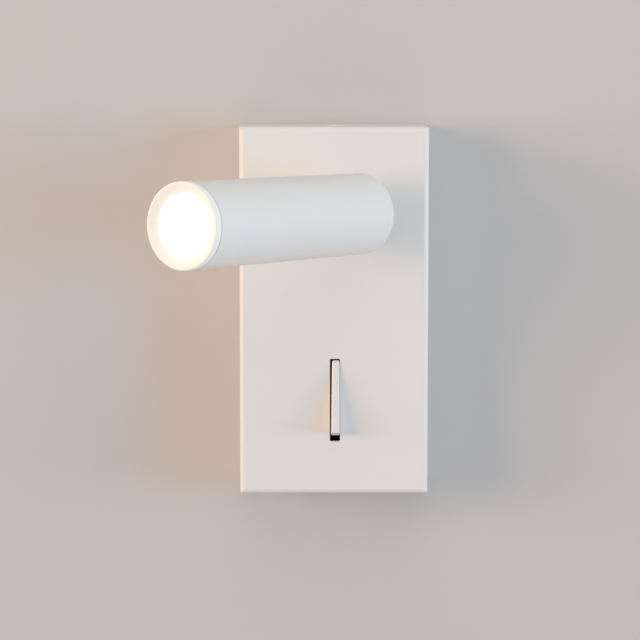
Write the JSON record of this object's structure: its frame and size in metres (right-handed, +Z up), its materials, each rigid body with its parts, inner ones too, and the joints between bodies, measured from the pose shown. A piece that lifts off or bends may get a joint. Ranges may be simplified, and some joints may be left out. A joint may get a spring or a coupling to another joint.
{
  "type": "wall reading light",
  "caption": "White rectangular wall reading light with a swivelling and tilting cylindrical spot head and a slim rocker lever in a slot.",
  "frame": {"origin": "middle of the back, on the wall plane", "axes": "+X right, +Y into the wall, +Z up; the light stands out from the wall towards -Y"},
  "size_m": [0.0855, 0.1196, 0.12],
  "materials": {
    "white_paint": "fine satin powder coat, off-white",
    "white_plastic": "satin moulded plastic, off-white",
    "zinc_steel": "zinc plated",
    "brass_metal": "plain turned",
    "aluminium_metal": "turned, bare",
    "dark_plastic": "moulded, fine texture",
    "nylon": "moulded nylon",
    "terminal_plastic": "moulded, translucent",
    "dark_rubber": "moulded",
    "silicone": "soft moulded",
    "circuit_board": "lacquered board",
    "lamp_board_white": "white lacquered board",
    "lamp_chip": "yellow phosphor",
    "reflector_silver": "vacuum metallised",
    "frosted_lens": "frosted acrylic, lit warm white",
    "lead_brown": "flexible insulation",
    "lead_blue": "flexible insulation",
    "lead_green": "flexible insulation, green with a yellow stripe",
    "lead_white": "flexible insulation"
  },
  "bodies": {
    "base": {"wall_bracket": "zinc_steel", "front_housing": "white_paint", "housing_screws": "zinc_steel", "cable_bush": "dark_rubber", "terminal_block": "terminal_plastic", "terminal_screws": "brass_metal", "earth_tag": "brass_metal", "earth_screw": "zinc_steel", "driver_case": "dark_plastic", "driver_board": "circuit_board", "driver_lid": "dark_plastic", "driver_screws": "zinc_steel", "switch_body": "dark_plastic", "switch_screws": "zinc_steel", "switch_terminals": "brass_metal", "rocker_pin": "zinc_steel", "swivel_bush": "nylon", "live_lead": "lead_brown", "switched_lead": "lead_brown", "neutral_lead": "lead_blue", "earth_lead": "lead_green", "output_lead": "lead_white"},
    "swivel": {"swivel_stem": "white_paint", "stop_washer": "zinc_steel", "disc_spring": "zinc_steel", "swivel_nut": "zinc_steel", "stem_lead": "lead_white"},
    "head": {"head_tube": "white_paint", "pivot_block": "aluminium_metal", "pivot_studs": "zinc_steel", "friction_washers": "nylon", "block_screws": "zinc_steel", "heat_sink": "aluminium_metal", "led_board": "lamp_board_white", "led_chip": "lamp_chip", "board_screws": "zinc_steel", "reflector": "reflector_silver", "lens_gasket": "silicone", "front_lens": "frosted_lens", "front_bezel": "white_paint", "head_lead": "lead_white"},
    "rocker": {"rocker_lever": "white_plastic"}
  },
  "joints": [
    {"name": "head_swivel", "type": "hinge", "parent": "base", "child": "swivel", "pos_m": [0, -0.026, 0.0329], "axis": [0, 1, 0], "range_deg": [-253.7, 70.3]},
    {"name": "head_tilt", "type": "hinge", "parent": "swivel", "child": "head", "pos_m": [0, -0.04944, 0.0329], "axis": [0.0297, 0, 0.9996], "range_deg": [-54.7, 35.3]},
    {"name": "rocker_flip", "type": "hinge", "parent": "base", "child": "rocker", "pos_m": [0.00047, -0.0226, -0.0291], "axis": [1, 0, 0], "range_deg": [0, 29]}
  ]
}
